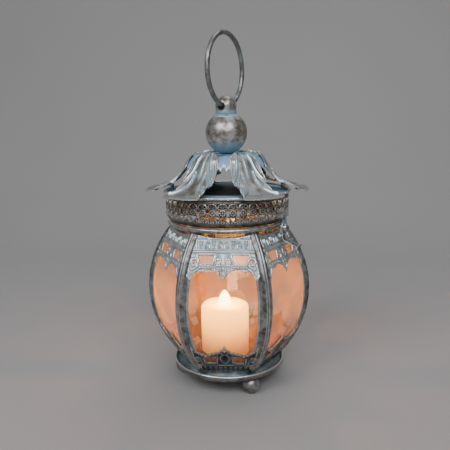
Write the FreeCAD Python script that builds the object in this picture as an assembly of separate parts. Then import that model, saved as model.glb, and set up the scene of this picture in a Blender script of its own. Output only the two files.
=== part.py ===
import FreeCAD, Part
import math
import os
from FreeCAD import Vector, Rotation, Placement

# Hanging candle lantern: six curved glass panes in a stamped tin cage on a dished base with three
# ball feet, and a hinged lid with a pierced gallery, a leaf crown, two balls and a hanging ring.
# Millimetres. +Z is up, the origin is on the ground under the centre, and -Y is the front.
# An azimuth is measured in degrees from the front towards +X.

# --- driving sizes -------------------------------------------------------------------------
SIDES = 6
TURN = 360.0 / SIDES
LATCH_AZIMUTH = 60.0
HINGE_AZIMUTH = 240.0

# cage: every panel is part of a cylinder that lies across the lantern
PANEL_R = 94.3
PANEL_CENTRE_BACK = 34.5
PANEL_CENTRE_Z = 81.5
SHEET = 0.8
GLASS = 2.0
RIB_FLANGE = 7.5
RIB_THICK = 1.35
FRET_BOTTOM = 20.6
GLASS_TOP = 134.6
GLASS_BOTTOM = 21.0

# base dish and feet
DISH_FLOOR = 19.8
CHANNEL_FLOOR = 15.8
DISH_SHEET = 1.2
DISH_R = 49.0
DISH_RIM_TOP = 19.7
FOOT_R = 7.6
FOOT_Z = 7.5
FOOT_CIRCLE = 41.0
FOOT_AZIMUTHS = (30, 150, 270)
STUD_R = 1.5

# candle and its cup
CUP_R = 26.3
CUP_WALL = 0.8
CUP_HEIGHT = 7.0
CANDLE_R = 21.0
CANDLE_TOP = 66.2
CANDLE_X = -3.4
CANDLE_Y = 0.3
WICK_R = 0.7
WICK_TOP = 70.5

# neck ring and lid
NECK_R = 49.0
NECK_WIRE_R = 2.0
NECK_Z = 141.9
BAND_R = 51.8
BAND_BOTTOM = 144.25
BAND_SHOULDER = 147.3
BAND_TOP = 166.4
SLOTS = 40
RIM_R = 52.8
RIM_WIRE_R = 1.05
RIM_Z = 167.7
ROOF_RISE = 4.1

# crown, balls and the rod that ties them together
CAP_TOP = 198.0
LEAF_THICK = 1.2
ROD_R = 2.0
ROD_LOW = 192.6
ROD_HOLE_R = 2.2
POST_CIRCLE = 47.0
BALL_R = 17.4
BALL_Z = 215.5
BALL_WALL = 1.0
EYELET_R = 8.8
EYELET_Z = 237.3
EYELET_HOLE_R = 3.5

# hanging ring: its wire passes through the eyelet along RING_ANGLE, measured from +X
RING_R = 29.0
RING_WIRE_R = 2.0
RING_ANGLE = -115.0
RING_GAP = 0.4

# lid hinge and latch: distances from the axis and heights
HINGE_R = 56.0
HINGE_Z = 145.5
HINGE_PIN_R = 0.8
KNUCKLE_R = 1.8
HASP_R = 54.8
HASP_Z = 151.0
HASP_PIN_R = 0.6
HASP_THICK = 0.8
HASP_HALF_WIDTH = 4.0
STRAP_HALF_WIDTH = 2.0
SNAP_Z = 140.5
SNAP_DOME_R = 3.5
RUNNING = 0.05


# --- tools of the trade --------------------------------------------------------------------
def save(name, shape):
    shape.exportStep("parts/" + name + ".step")


def prism_xz(points, near, far):
    """A flat outline in X and Z, pushed along Y from near to far."""
    wire = Part.makePolygon([Vector(x, near, z) for x, z in points + points[:1]])
    return Part.Face(wire).extrude(Vector(0, far - near, 0))


def prism_xy(points, low, high):
    wire = Part.makePolygon([Vector(x, y, low) for x, y in points + points[:1]])
    return Part.Face(wire).extrude(Vector(0, 0, high - low))


def lathe(points):
    """A closed outline of (radius, height) points, turned about the lantern's axis."""
    wire = Part.makePolygon([Vector(r, 0, z) for r, z in points + points[:1]])
    return Part.Face(wire).revolve(Vector(0, 0, 0), Vector(0, 0, 1), 360)


def turned(shape, azimuth):
    copy = shape.copy()
    copy.rotate(Vector(0, 0, 0), Vector(0, 0, 1), azimuth)
    return copy


def mirrored_half(points):
    """An outline's right half, top to bottom on the centre line, closed by its mirror image."""
    left = [(-x, z) for x, z in reversed(points) if x > 0]
    return points + left


def cross_bar(radius, distance, height, half_length):
    """A round bar across the front at a distance from the axis."""
    start = Vector(-half_length, -distance, height)
    return Part.makeCylinder(radius, 2 * half_length, start, Vector(1, 0, 0))


def front_box(half_width, near, far, low, high):
    """A block at the front, between two distances from the axis."""
    return Part.makeBox(2 * half_width, far - near, high - low, Vector(-half_width, -far, low))


# --- cage ----------------------------------------------------------------------------------
def panel_layer(inner, outer, low, high, side_gap):
    """The front panel's sheet between two radii and two heights, mitred to meet its neighbours."""
    reach = 100.0
    start = Vector(-reach, PANEL_CENTRE_BACK, PANEL_CENTRE_Z)
    sheet = Part.makeCylinder(outer, 2 * reach, start, Vector(1, 0, 0))
    sheet = sheet.cut(Part.makeCylinder(inner, 2 * reach, start, Vector(1, 0, 0)))
    half = math.tan(math.radians(TURN / 2))
    gap = side_gap / math.cos(math.radians(TURN / 2))
    wedge = [(0, -gap / half), (reach * half - gap, -reach), (gap - reach * half, -reach)]
    return sheet.common(prism_xy(wedge, low, high))


def corner_rib(dish, neck):
    """A V strip over the joint of two panels, at half a turn from the front panel."""
    inner = PANEL_R + SHEET + RUNNING
    layer = panel_layer(inner, inner + RIB_THICK, CHANNEL_FLOOR + 0.1, NECK_Z - NECK_WIRE_R + 0.4, 0)
    half = math.tan(math.radians(TURN / 2))
    reach = 100.0
    strip = [(0, -RIB_FLANGE / half), (0, 0), (reach * half, -reach), (reach * half - RIB_FLANGE, -reach)]
    right = layer.common(prism_xy(strip, 0, NECK_Z + 10))
    left = turned(right.mirror(Vector(0, 0, 0), Vector(1, 0, 0)), TURN)
    strip = right.fuse(left).removeSplitter().cut(dish).cut(neck)
    return max(strip.Solids, key=lambda solid: solid.Volume)


def top_fretwork():
    """Header with a hollowed top edge, two windows and a hanging fringe of drops."""
    fringe = [(45, 138.8), (45, 112.0), (30, 110.0), (26.5, 104.2), (22.5, 109.5), (20.0, 111.5),
              (16.5, 110.8), (13.0, 112.6), (8.7, 112.4), (4.0, 110.1), (0, 104.5)]
    outline = prism_xz(mirrored_half([(0, 138.8)] + fringe), -90, -20)
    layer = panel_layer(PANEL_R, PANEL_R + SHEET, 100, 138.8, 0.1)
    plate = layer.common(outline)
    hollow_depth = 3.4
    hollow_half_width = 25.5
    hollow_r = (hollow_half_width ** 2 + hollow_depth ** 2) / (2 * hollow_depth)
    hollow_z = 138.8 - hollow_depth + hollow_r
    plate = plate.cut(Part.makeCylinder(hollow_r, 100, Vector(0, -100, hollow_z), Vector(0, 1, 0)))
    window = [(7.2, 123.1), (19.6, 123.1), (17.6, 116.6), (9.0, 116.6)]
    keyhole = [(2.6, 119.0), (5.6, 119.0), (4.1, 116.4)]
    for side in (-1, 1):
        for hole in (window, keyhole):
            plate = plate.cut(prism_xz([(side * x, z) for x, z in hole], -90, -20))
        plate = plate.cut(Part.makeCylinder(1.5, 70, Vector(side * 22.4, -90, 118.2), Vector(0, 1, 0)))
    return plate


def bottom_fretwork():
    """Upright fringe round the foot of the glass, with a peak in the middle and at each corner."""
    crest = [(2.0, 46.6), (4.8, 44.2), (10.0, 42.6), (16.5, 40.8), (21.2, 43.7), (24.5, 46.0),
             (26.5, 49.3), (28.5, 46.5), (45, 46.5), (45, FRET_BOTTOM), (0, FRET_BOTTOM)]
    outline = prism_xz(mirrored_half([(0, 50.2)] + crest), -90, -20)
    plate = panel_layer(PANEL_R, PANEL_R + SHEET, FRET_BOTTOM, 55, 0.1).common(outline)
    window = [(6.6, 38.9), (16.8, 38.9), (15.6, 32.0), (7.6, 32.0)]
    for side in (-1, 1):
        plate = plate.cut(prism_xz([(side * x, z) for x, z in window], -90, -20))
    return plate


def glass_pane():
    return panel_layer(PANEL_R - 0.1 - GLASS, PANEL_R - 0.1, GLASS_BOTTOM, GLASS_TOP, 0.8)


def apothem(radius, height):
    """How far from the axis a panel layer of that radius is, at a height."""
    drop = height - PANEL_CENTRE_Z
    return math.sqrt(radius ** 2 - drop ** 2) - PANEL_CENTRE_BACK


def glass_tabs():
    """Folded tabs that hold each pane at its top and bottom edge."""
    behind = PANEL_R - 0.2 - GLASS
    tabs = []
    for edge, clip_low, clip_high in ((GLASS_TOP, GLASS_TOP - 5, GLASS_TOP + 0.5),
                                      (GLASS_BOTTOM - 0.6, GLASS_BOTTOM - 0.6, GLASS_BOTTOM + 4)):
        clip = panel_layer(behind - 0.6, behind, clip_low, clip_high, 2).common(
            front_box(4, 20, 60, clip_low, clip_high))
        fold = front_box(4, apothem(behind - 0.3, edge + 0.3), apothem(PANEL_R - 0.2, edge + 0.6),
                         edge + 0.05, edge + 0.5)
        tabs.append(clip.fuse(fold).removeSplitter())
    return Part.makeCompound([turned(tab, side * TURN) for side in range(SIDES) for tab in tabs])


# --- base ----------------------------------------------------------------------------------
def base_dish():
    """Dished base: a raised floor for the candle cup, a channel, and a rim rolled up round it."""
    under = CHANNEL_FLOOR - DISH_SHEET
    profile = [(1.6, DISH_FLOOR), (36.6, DISH_FLOOR), (39.6, CHANNEL_FLOOR), (45.4, CHANNEL_FLOOR),
               (47.2, 17.2), (47.4, DISH_RIM_TOP - 0.3), (48.2, DISH_RIM_TOP), (DISH_R, DISH_RIM_TOP - 0.5),
               (DISH_R, 16.2), (48.2, 15.0), (46.6, under), (38.6, under), (36.0, DISH_FLOOR - DISH_SHEET),
               (1.6, DISH_FLOOR - DISH_SHEET)]
    dish = lathe(profile)
    for azimuth in FOOT_AZIMUTHS:
        hole = Part.makeCylinder(STUD_R + RUNNING, 6, Vector(0, -FOOT_CIRCLE, 12))
        dish = dish.cut(turned(hole, azimuth))
    return dish


def foot_ball():
    """Ball foot with a small flat to stand on, bored for its stud."""
    ball = Part.makeSphere(FOOT_R, Vector(0, -FOOT_CIRCLE, FOOT_Z))
    under = CHANNEL_FLOOR - DISH_SHEET
    ball = ball.common(front_box(10, FOOT_CIRCLE - 10, FOOT_CIRCLE + 10, 0, under))
    return ball.cut(Part.makeCylinder(STUD_R + RUNNING, 20, Vector(0, -FOOT_CIRCLE, 5)))


def foot_stud():
    """Threaded stud, riveted flush with the channel floor, that the ball foot screws on to."""
    return Part.makeCylinder(STUD_R, CHANNEL_FLOOR - 5.55, Vector(0, -FOOT_CIRCLE, 5.5))


def candle_cup():
    floor = DISH_FLOOR + CUP_WALL
    top = DISH_FLOOR + CUP_HEIGHT
    return lathe([(1.6, DISH_FLOOR), (CUP_R, DISH_FLOOR), (CUP_R, top), (CUP_R - CUP_WALL, top),
                  (CUP_R - CUP_WALL, floor), (1.6, floor)])


def cup_rivet():
    """Hollow rivet that holds the cup to the dish, its head below and its rolled end flush in the cup."""
    low = DISH_FLOOR - DISH_SHEET
    high = DISH_FLOOR + CUP_WALL
    return lathe([(0.8, low - 1.0), (3.0, low - 1.0), (3.0, low), (1.55, low), (1.55, high), (0.8, high)])


def candle_wax():
    """Short pillar candle with softened shoulders and a shallow melted pool."""
    low = DISH_FLOOR + CUP_WALL + 0.3
    body = Part.makeCylinder(CANDLE_R, CANDLE_TOP - low, Vector(0, 0, low))
    top_edges = [e for e in body.Edges if e.BoundBox.ZMin > CANDLE_TOP - 0.1]
    body = body.makeFillet(3.0, top_edges)
    pool_r = 60.0
    body = body.cut(Part.makeSphere(pool_r, Vector(0, 0, CANDLE_TOP - 2.2 + pool_r)))
    body = body.cut(Part.makeCylinder(WICK_R + RUNNING, CANDLE_TOP, Vector(0, 0, 50)))
    body.translate(Vector(CANDLE_X, CANDLE_Y, 0))
    return body


def candle_wick():
    return Part.makeCylinder(WICK_R, WICK_TOP - 50, Vector(CANDLE_X, CANDLE_Y, 50))


# --- neck and hinge ------------------------------------------------------------------------
def neck_ring():
    return Part.makeTorus(NECK_R, NECK_WIRE_R, Vector(0, 0, NECK_Z))


def latch_stud(neck):
    """Small ball on a short stalk, soldered to the neck ring."""
    ball = Part.makeSphere(1.4, Vector(0, -52.6, SNAP_Z + 0.4))
    stalk = Part.makeCylinder(0.9, 3.0, Vector(0, -49.8, SNAP_Z + 0.4), Vector(0, -1, 0))
    return turned(ball.fuse(stalk), LATCH_AZIMUTH).cut(neck)


def lower_hinge_leaf(neck):
    """Bracket from the neck ring with the middle knuckle of the hinge."""
    knuckle = cross_bar(KNUCKLE_R, HINGE_R, HINGE_Z, 2.5)
    web = front_box(2.5, 50.2, HINGE_R, HINGE_Z - 2.6, HINGE_Z - 1.2)
    leaf = knuckle.fuse(web).cut(cross_bar(HINGE_PIN_R + RUNNING, HINGE_R, HINGE_Z, 3))
    return turned(leaf, HINGE_AZIMUTH).cut(neck)


def upper_hinge_leaf():
    """Plate on the gallery band with the two outer knuckles."""
    shell = Part.makeCylinder(BAND_R + 0.9, 12, Vector(0, 0, 147.6))
    shell = shell.cut(Part.makeCylinder(BAND_R + RUNNING, 12, Vector(0, 0, 147.6)))
    leaf = shell.common(front_box(6.5, 40, 60, 147, 160))
    for side in (-1, 1):
        start = Vector(side * 2.9 if side > 0 else -6.5, -HINGE_R, HINGE_Z)
        leaf = leaf.fuse(Part.makeCylinder(KNUCKLE_R, 3.6, start, Vector(1, 0, 0)))
        arm = front_box(1.8, BAND_R + RUNNING, HINGE_R, HINGE_Z + 0.8, 148.4)
        arm = arm.common(Part.makeBox(20, 3.6, 5, Vector(-10, -HINGE_R, 145)).fuse(
            Part.makeBox(20, 3, 3, Vector(-10, -HINGE_R + 2, 146.5))))
        arm.translate(Vector(side * 4.7, 0, 0))
        leaf = leaf.fuse(arm)
    leaf = leaf.cut(Part.makeCylinder(BAND_R + RUNNING, 30, Vector(0, 0, 140)))
    leaf = leaf.cut(cross_bar(HINGE_PIN_R, HINGE_R, HINGE_Z, 8))
    return turned(leaf.removeSplitter(), HINGE_AZIMUTH)


def hinge_pin():
    return turned(cross_bar(HINGE_PIN_R, HINGE_R, HINGE_Z, 7.0), HINGE_AZIMUTH)


# --- lid -----------------------------------------------------------------------------------
def gallery_band():
    """Pierced band with a coned lower edge that drops onto the neck ring."""
    inner = BAND_R - SHEET
    band = lathe([(48.0, BAND_BOTTOM + 0.2), (48.8, BAND_BOTTOM), (BAND_R, BAND_SHOULDER),
                  (BAND_R, BAND_TOP), (inner, BAND_TOP), (inner, BAND_SHOULDER + 0.4)])
    bars = [turned(front_box(1.0, -60, 60, 152, 159), n * 360.0 / SLOTS) for n in range(SLOTS // 2)]
    return band.cut(bars)


def roof_plate():
    """Low cone that closes the top of the band over the flame."""
    edge = BAND_R - 0.1
    low = BAND_TOP + 0.1
    return lathe([(0, low + ROOF_RISE), (edge, low), (edge, low + SHEET), (0, low + ROOF_RISE + SHEET)])


def rim_bead():
    return Part.makeTorus(RIM_R, RIM_WIRE_R, Vector(0, 0, RIM_Z))


def crown_line(drop, last):
    """The crown's line from its shoulder to the leaf tips, lowered by drop, up to span number last."""
    spans = [((24, 199.3), (28.6, 197.5), (32, 194)),
             ((32, 194), (39.5, 182.2), (50, 173.7)),
             ((50, 173.7), (58, 170.9), (69, 169.0))]
    return [Part.Arc(*[Vector(r, 0, z - drop) for r, z in span]).toShape() for span in spans[:last]]


def crown_shell(high, low, last, inner_points):
    """The crown's line between two drops, closed round by inner_points and turned about the axis."""
    top = crown_line(high, last)
    bottom = crown_line(low, last)
    outer_end = Part.makeLine(top[-1].Vertexes[-1].Point, bottom[-1].Vertexes[-1].Point)
    stops = [bottom[0].Vertexes[0].Point] + [Vector(r, 0, z) for r, z in inner_points]
    stops.append(top[0].Vertexes[0].Point)
    inner_end = [Part.makeLine(a, b) for a, b in zip(stops, stops[1:])]
    wire = Part.Wire(Part.__sortEdges__(top + bottom + [outer_end] + inner_end))
    return Part.Face(wire).revolve(Vector(0, 0, 0), Vector(0, 0, 1), 360)


def crown_cap():
    """Flat-topped cap that carries the leaves, scalloped between them."""
    under = LEAF_THICK + RUNNING
    cap = crown_shell(under, under + 1.0, 2, [(ROD_HOLE_R, CAP_TOP - 0.95), (ROD_HOLE_R, CAP_TOP)])
    for side in range(SIDES):
        scallop = Part.makeCylinder(11, 60, Vector(0, -49, 150))
        cap = cap.cut(turned(scallop, side * TURN))
    return cap


def crown_posts(roof, cap):
    """Short posts soldered to the roof, one under each stem, that carry the crown."""
    post = turned(Part.makeCylinder(STUD_R, 12, Vector(0, -POST_CIRCLE, 164)), TURN / 2)
    pieces = post.cut(roof).cut(cap).Solids
    between = max(pieces, key=lambda solid: solid.Volume)
    return Part.makeCompound([turned(between, side * TURN) for side in range(SIDES)])


def crown_leaf():
    """One leaf of the crown, pointing to the front: a lobed stem that opens into a broad tongue."""
    shell = crown_shell(0, LEAF_THICK, 3, [])
    half = [(0, -23), (7, -24), (11, -30), (12.5, -36), (10.5, -40), (13, -44), (11, -51), (8.5, -53),
            (12, -57), (17, -61), (18, -64.5), (14, -67.2), (7, -69), (0, -69.5)]
    outline = half + [(-x, y) for x, y in reversed(half) if x > 0]
    return shell.common(prism_xy(outline, 160, 205))


def big_ball():
    ball = Part.makeSphere(BALL_R, Vector(0, 0, BALL_Z))
    ball = ball.cut(Part.makeSphere(BALL_R - BALL_WALL, Vector(0, 0, BALL_Z)))
    return ball.cut(Part.makeCylinder(ROD_HOLE_R, 60, Vector(0, 0, BALL_Z - 30)))


def seat_cut():
    return Part.makeSphere(BALL_R + RUNNING, Vector(0, 0, BALL_Z))


def neck_collar():
    """Coned washer between the two balls."""
    collar = lathe([(ROD_HOLE_R, 226), (11.4, 226), (11.4, 229.0), (9.2, 230.8), (ROD_HOLE_R, 233.6)])
    collar = collar.cut(seat_cut())
    return collar.cut(Part.makeCylinder(30, 10, Vector(0, 0, 230.8)))


def ring_direction():
    angle = math.radians(RING_ANGLE)
    return Vector(math.cos(angle), math.sin(angle), 0)


def eyelet_ball():
    """Top ball on a short skirt, drilled across for the ring and tapped below for the rod."""
    floor = 230.85
    body = Part.makeSphere(EYELET_R, Vector(0, 0, EYELET_Z))
    body = body.fuse(Part.makeCylinder(EYELET_R, EYELET_Z - floor, Vector(0, 0, floor)))
    body = body.common(Part.makeCylinder(20, 30, Vector(0, 0, floor))).cut(seat_cut())
    along = ring_direction()
    body = body.cut(Part.makeCylinder(EYELET_HOLE_R, 40, Vector(0, 0, EYELET_Z) - along * 20, along))
    return body.cut(Part.makeCylinder(ROD_R + RUNNING, 233.3 - 225, Vector(0, 0, 225)))


def tie_rod():
    return Part.makeCylinder(ROD_R, 233.2 - ROD_LOW, Vector(0, 0, ROD_LOW))


def tie_nut():
    top = CAP_TOP - 1.0
    corners = [(4.04 * math.cos(math.radians(60 * n)), 4.04 * math.sin(math.radians(60 * n))) for n in range(6)]
    return prism_xy(corners, top - 3.2, top).cut(Part.makeCylinder(ROD_R + RUNNING, 10, Vector(0, 0, top - 7)))


# --- latch ---------------------------------------------------------------------------------
def hasp_bracket():
    """Plate on the gallery band with two ears for the hasp's pin."""
    plate = Part.makeCylinder(BAND_R + 0.8, 8, Vector(0, 0, 148.2))
    plate = plate.common(front_box(5.4, 40, 60, 148, 158))
    for side in (-1, 1):
        ear = front_box(0.5, BAND_R - 1, HASP_R + 1.3, HASP_Z - 1.3, HASP_Z + 1.3)
        ear.translate(Vector(side * 4.9, 0, 0))
        plate = plate.fuse(ear)
    plate = plate.cut(Part.makeCylinder(BAND_R + RUNNING, 20, Vector(0, 0, 140)))
    return turned(plate.cut(cross_bar(HASP_PIN_R, HASP_R, HASP_Z, 8)), LATCH_AZIMUTH)


def hasp_pin():
    return turned(cross_bar(HASP_PIN_R, HASP_R, HASP_Z, 5.8), LATCH_AZIMUTH)


def hasp():
    """Strap with a hollow dome that snaps over the latch stud, and a finger tab turned up at its end."""
    near = HASP_R - HASP_THICK / 2
    far = HASP_R + HASP_THICK / 2
    profile = [(near, HASP_Z), (far, HASP_Z), (far, 130.8), (65.6, 126.2), (66.9, 128.3), (67.6, 127.9),
               (66.0, 125.2), (near, 130.3)]
    wire = Part.makePolygon([Vector(-STRAP_HALF_WIDTH, -r, z) for r, z in profile + profile[:1]])
    strap = Part.Face(wire).extrude(Vector(2 * STRAP_HALF_WIDTH, 0, 0))
    eye = Part.makeCylinder(5.6, HASP_THICK, Vector(0, -near, SNAP_Z), Vector(0, -1, 0))
    dome = Part.makeSphere(SNAP_DOME_R, Vector(0, -HASP_R, SNAP_Z)).common(front_box(6, near, 65, 130, 150))
    strap = strap.fuse([eye, dome, cross_bar(1.3, HASP_R, HASP_Z, HASP_HALF_WIDTH)])
    strap = strap.cut(Part.makeSphere(SNAP_DOME_R - SHEET, Vector(0, -HASP_R, SNAP_Z)))
    strap = strap.cut(cross_bar(HASP_PIN_R + RUNNING, HASP_R, HASP_Z, 6))
    return turned(strap.removeSplitter(), LATCH_AZIMUTH)


# --- hanging ring --------------------------------------------------------------------------
def hanging_ring():
    """Round wire ring bent through the eyelet, its ends butted beside it."""
    along = ring_direction()
    across = Vector(-along.y, along.x, 0)
    centre = Vector(0, 0, EYELET_Z + RING_R)
    ring = Part.makeTorus(RING_R, RING_WIRE_R, centre, across)
    gap = Part.makeBox(RING_GAP, 10, 10, Vector(-RING_GAP / 2, -5, -RING_R - 5))
    gap.rotate(Vector(0, 0, 0), Vector(0, 1, 0), 38)
    gap.rotate(Vector(0, 0, 0), Vector(0, 0, 1), RING_ANGLE)
    gap.translate(centre)
    return ring.cut(gap)


# --- the whole lantern ---------------------------------------------------------------------
os.makedirs("parts", exist_ok=True)

dish = base_dish()
neck = neck_ring()
save("base_dish", dish)
save("neck_ring", neck)
save("candle_cup", candle_cup())
save("cup_rivet", cup_rivet())
save("foot_studs", Part.makeCompound([turned(foot_stud(), azimuth) for azimuth in FOOT_AZIMUTHS]))
for number, azimuth in enumerate(FOOT_AZIMUTHS, 1):
    save("foot_ball_%d" % number, turned(foot_ball(), azimuth))

panel_parts = {"top_fretwork": top_fretwork(), "bottom_fretwork": bottom_fretwork(),
               "glass_pane": glass_pane(), "corner_rib": corner_rib(dish, neck)}
for name, shape in panel_parts.items():
    for side in range(SIDES):
        save("%s_%d" % (name, side + 1), turned(shape, side * TURN))
save("glass_tabs", glass_tabs())

leaf = crown_leaf()
for side in range(SIDES):
    save("crown_leaf_%d" % (side + 1), turned(leaf, TURN / 2 + side * TURN))
roof = roof_plate()
cap = crown_cap()
save("roof_plate", roof)
save("crown_cap", cap)
save("crown_posts", crown_posts(roof, cap))
for make in (gallery_band, rim_bead, big_ball, neck_collar, eyelet_ball,
             tie_rod, tie_nut, upper_hinge_leaf, hinge_pin, hasp_bracket, hasp_pin, hasp,
             hanging_ring, candle_wax, candle_wick):
    save(make.__name__, make())
save("lower_hinge_leaf", lower_hinge_leaf(neck))
save("latch_stud", latch_stud(neck))
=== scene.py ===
import math
import bpy
import bmesh
import numpy as np
from mathutils import Matrix, Quaternion, Vector


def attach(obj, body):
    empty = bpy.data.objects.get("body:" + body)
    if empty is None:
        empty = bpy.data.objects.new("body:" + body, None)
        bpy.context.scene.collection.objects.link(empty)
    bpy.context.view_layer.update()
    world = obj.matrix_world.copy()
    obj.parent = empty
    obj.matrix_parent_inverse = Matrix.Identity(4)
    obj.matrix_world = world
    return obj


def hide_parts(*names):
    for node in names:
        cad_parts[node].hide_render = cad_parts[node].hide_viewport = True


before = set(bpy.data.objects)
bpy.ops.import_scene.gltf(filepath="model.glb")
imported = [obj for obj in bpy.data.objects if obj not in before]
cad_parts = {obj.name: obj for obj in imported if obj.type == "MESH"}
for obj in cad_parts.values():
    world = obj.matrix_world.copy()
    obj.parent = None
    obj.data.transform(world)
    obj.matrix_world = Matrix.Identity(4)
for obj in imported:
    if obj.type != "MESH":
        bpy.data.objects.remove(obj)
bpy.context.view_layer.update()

MM = 0.001
SIDES = 6
TURN = 360 / SIDES

# ---- Base dish ----
# The dish is spun from tinplate: a raised floor for the candle, a gutter that the cage stands in,
# and an edge rolled up round it. It is blackened, washed with thin blue paint and rubbed back.

GUTTER_Z = 15.8
DISH_FLOOR = 19.8


def linear(code):
    """An sRGB hex colour as the linear colour that a shader takes."""
    parts = [int(code[i:i + 2], 16) / 255 for i in (1, 3, 5)]
    return [c / 12.92 if c <= 0.04045 else ((c + 0.055) / 1.055) ** 2.4 for c in parts] + [1.0]


def node(tree, kind, settings=(), links=()):
    """Adds one shader node, with its settings and what feeds it: a socket, or a node's first output."""
    made = tree.nodes.new("ShaderNode" + kind)
    for key, value in dict(settings).items():
        if isinstance(key, int) or key in made.inputs:
            made.inputs[key].default_value = value
        else:
            setattr(made, key, value)
    for key, source in dict(links).items():
        tree.links.new(getattr(source, "outputs", [source])[0], made.inputs[key])
    return made


def new_finish(name):
    """An empty material, its node tree, and each point's own place on the piece."""
    material = bpy.data.materials.new(name)
    material.use_nodes = True
    tree = material.node_tree
    tree.nodes.clear()
    return material, tree, node(tree, "TexCoord").outputs["Object"]


def aged_tin(name, tin="#A5A199", smoke="#5C5348", wash="#89AFC0", washed=0.45, shine=0.8, rough=0.36,
             patch_mm=8.0):
    """Tinplate that was blackened, washed with thin blue paint and rubbed back with a cloth: brown-grey
    clouds on grey metal, blue left in the hollows, and bright tin rubbed through on the high spots and
    edges; where a mesh marks one, the same bright tin is a painted highlight."""
    material, tree, spot = new_finish(name)
    clouds = node(tree, "TexNoise", {"Scale": 1 / (patch_mm * MM), "Detail": 6.0, "Roughness": 0.68},
                  {"Vector": spot})
    # the blue was wiped on with a cloth, so its patches are wider than the clouds
    wiped = node(tree, "TexNoise", {"Scale": 1 / (1.9 * patch_mm * MM), "Detail": 4.0,
                 "Roughness": 0.6, "Distortion": 0.6}, {"Vector": spot})
    # real specks are 0.2 mm and are drawn at 0.9 mm, so that they still show
    specks = node(tree, "TexNoise", {"Scale": 1 / (0.9 * MM), "Detail": 3.0, "Roughness": 0.7},
                  {"Vector": spot})
    wear_and_highlight = node(tree, "Attribute", {"attribute_name": "wear_and_highlight"}).outputs["Fac"]
    hollow = node(tree, "Attribute", {"attribute_name": "hollow"}).outputs["Fac"]
    soot = node(tree, "Attribute", {"attribute_name": "soot"}).outputs["Fac"]
    edge = node(tree, "MapRange", {"From Min": 0.515, "From Max": 0.58, "To Max": 0.8},
                {"Value": node(tree, "NewGeometry").outputs["Pointiness"]})

    cloudy = node(tree, "MapRange", {"From Min": 0.42, "From Max": 0.62}, {"Value": clouds})
    ground = node(tree, "Mix", {"data_type": "RGBA", 6: linear(tin), 7: linear(smoke)},
                  {0: cloudy}).outputs[2]
    blue_low = 0.64 - 0.3 * washed
    blue_patch = node(tree, "MapRange", {"From Min": blue_low, "From Max": blue_low + 0.16,
                      "To Max": 0.8 * min(1.0, 1.6 * washed)}, {"Value": wiped})
    blue_held = node(tree, "Math", {"operation": "MULTIPLY_ADD", 1: 0.7, "use_clamp": True},
                     {0: hollow, 2: blue_patch})
    blued = node(tree, "Mix", {"data_type": "RGBA", 7: linear(wash)}, {0: blue_held, 6: ground}).outputs[2]
    grime = node(tree, "MapRange", {"From Min": 0.58, "From Max": 0.74, "To Max": 0.75}, {"Value": specks})
    dirty = node(tree, "Mix", {"data_type": "RGBA", 7: linear("#3A342D")}, {0: grime, 6: blued}).outputs[2]
    bare_and_sheen = node(tree, "Math", {"operation": "MAXIMUM"}, {0: wear_and_highlight, 1: edge})
    worn = node(tree, "MapRange", {"From Min": 0.3, "From Max": 0.6, "To Min": 0.35, "To Max": 1.0},
                {"Value": specks})
    bare_and_sheen = node(tree, "Math", {"operation": "MULTIPLY", "use_clamp": True}, {0: bare_and_sheen, 1: worn})
    bare_and_sheen = node(tree, "Math", {"operation": "MULTIPLY", 1: shine, "use_clamp": True}, {0: bare_and_sheen})
    # bright tin, which is also a painted highlight where a mesh's mark stands for one
    clean = node(tree, "Mix", {"data_type": "RGBA", 7: linear("#F2F1EC")}, {0: bare_and_sheen, 6: dirty}).outputs[2]
    # candle smoke has blackened whatever faces the flame
    colour = node(tree, "Mix", {"data_type": "RGBA", 7: linear("#1E1713")}, {0: soot, 6: clean}).outputs[2]

    painted = node(tree, "Math", {"operation": "SUBTRACT", "use_clamp": True}, {0: blue_held, 1: bare_and_sheen})
    metallic = node(tree, "MapRange", {"To Min": 0.72, "To Max": 0.2}, {"Value": painted})
    metallic = node(tree, "Math", {"operation": "MULTIPLY_ADD", 1: -0.7, "use_clamp": True},
                    {0: soot, 2: metallic})
    dull = node(tree, "MapRange", {"To Min": rough, "To Max": rough + 0.26}, {"Value": painted})
    rougher = node(tree, "Math", {"operation": "MULTIPLY_ADD", 1: 0.22}, {0: grime, 2: dull})
    sooty = node(tree, "Math", {"operation": "MULTIPLY_ADD", 1: 0.3}, {0: soot, 2: rougher})
    final_rough = node(tree, "Math", {"operation": "MULTIPLY_ADD", 1: -0.12, "use_clamp": True},
                       {0: bare_and_sheen, 2: sooty})
    lumps = node(tree, "Bump", {"Strength": 0.35, "Distance": 0.5 * MM}, {"Height": clouds})
    grain = node(tree, "Bump", {"Strength": 0.3, "Distance": 0.12 * MM}, {"Height": specks, "Normal": lumps})
    skin = node(tree, "BsdfPrincipled", (), {"Base Color": colour, "Metallic": metallic,
                "Roughness": final_rough, "Normal": grain})
    node(tree, "OutputMaterial", (), {"Surface": skin})
    return material


def make_mesh(name, points, faces, wear_and_highlight=None, hollow=None, soot=None):
    """One closed mesh from points in millimetres, with its rubbed spots and painted highlights, its sheltered
    and its sooty spots marked.
    """
    mesh = bpy.data.meshes.new(name)
    mesh.from_pydata((np.asarray(points, float) * MM).tolist(), [], faces)
    for label, values in (("wear_and_highlight", wear_and_highlight), ("hollow", hollow), ("soot", soot)):
        if values is not None:
            mark = mesh.attributes.new(label, "FLOAT", "POINT")
            mark.data.foreach_set("value", np.asarray(values, np.float32))
    form = bmesh.new()
    form.from_mesh(mesh)
    bmesh.ops.recalc_face_normals(form, faces=form.faces)
    form.to_mesh(mesh)
    form.free()
    mesh.shade_smooth()
    mesh.set_sharp_from_angle(angle=math.radians(48))
    return mesh


def put(name, data):
    """A new object in the scene."""
    made = bpy.data.objects.new(name, data)
    bpy.context.scene.collection.objects.link(made)
    return made


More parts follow.
